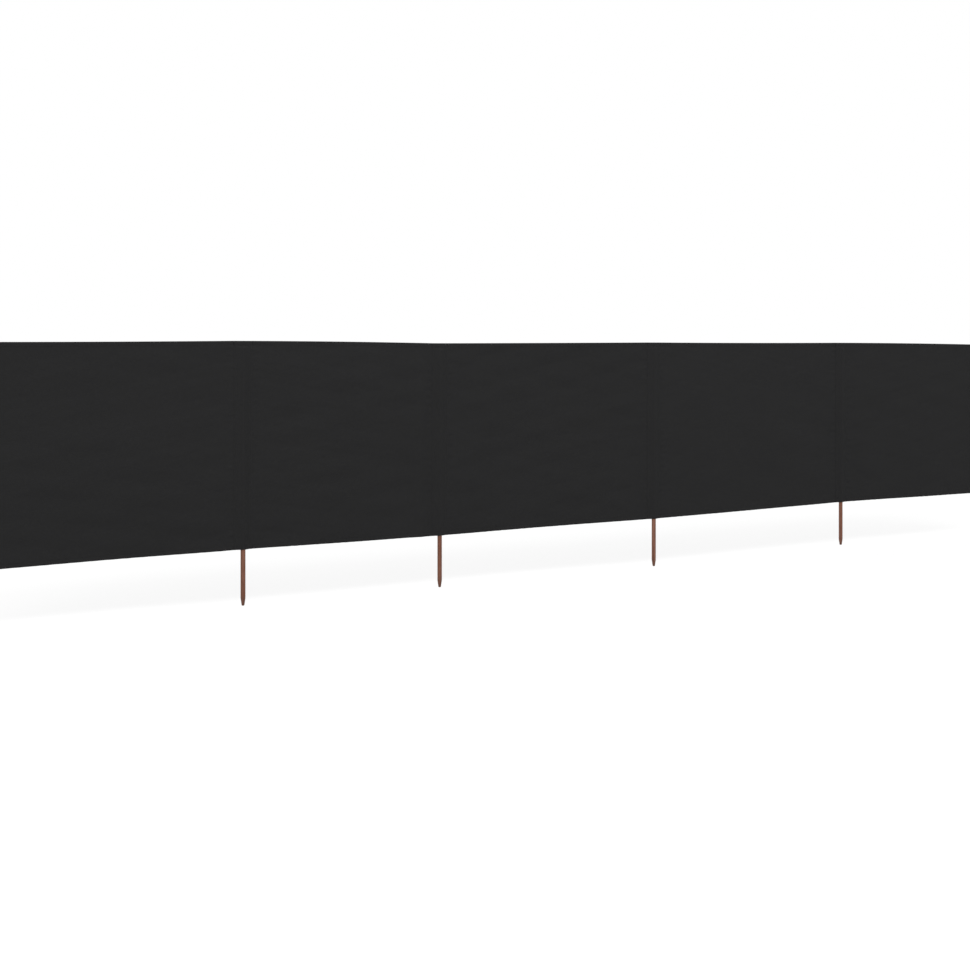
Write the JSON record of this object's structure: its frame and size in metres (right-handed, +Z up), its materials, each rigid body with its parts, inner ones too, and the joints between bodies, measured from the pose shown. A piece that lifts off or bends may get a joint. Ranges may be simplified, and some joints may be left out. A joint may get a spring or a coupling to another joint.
{
  "type": "beach windbreak",
  "caption": "Long dark cloth screen whose bays are sewn between round wooden stakes in sleeves. The stakes stand out below the cloth, with blunt points for the sand.",
  "frame": {"origin": "middle of the flat end of the first stake's point, at the left-hand end of the row seen from the front", "axes": "+X along the row to the last stake, +Y to the back, +Z up along the stakes"},
  "size_m": [6.0327, 0.0862, 1.2085],
  "materials": {
    "cloth": "plain-woven polyester, matt",
    "hem": "the same cloth, folded and topstitched",
    "sleeve": "the same cloth, doubled and topstitched",
    "stake": "reddish-brown stain, satin"
  },
  "bodies": {
    "root": {"bay_cloth_1": "cloth", "bay_cloth_2": "cloth", "bay_cloth_3": "cloth", "bay_cloth_4": "cloth", "bay_cloth_5": "cloth", "top_hem_1": "hem", "bottom_hem_1": "hem", "top_hem_2": "hem", "bottom_hem_2": "hem", "top_hem_3": "hem", "bottom_hem_3": "hem", "top_hem_4": "hem", "bottom_hem_4": "hem", "top_hem_5": "hem", "bottom_hem_5": "hem", "stake_1": "stake", "stake_sleeve_1": "sleeve", "stake_2": "stake", "stake_sleeve_2": "sleeve", "stake_3": "stake", "stake_sleeve_3": "sleeve", "stake_4": "stake", "stake_sleeve_4": "sleeve", "stake_5": "stake", "stake_sleeve_5": "sleeve", "stake_6": "stake", "stake_sleeve_6": "sleeve"}
  },
  "joints": []
}
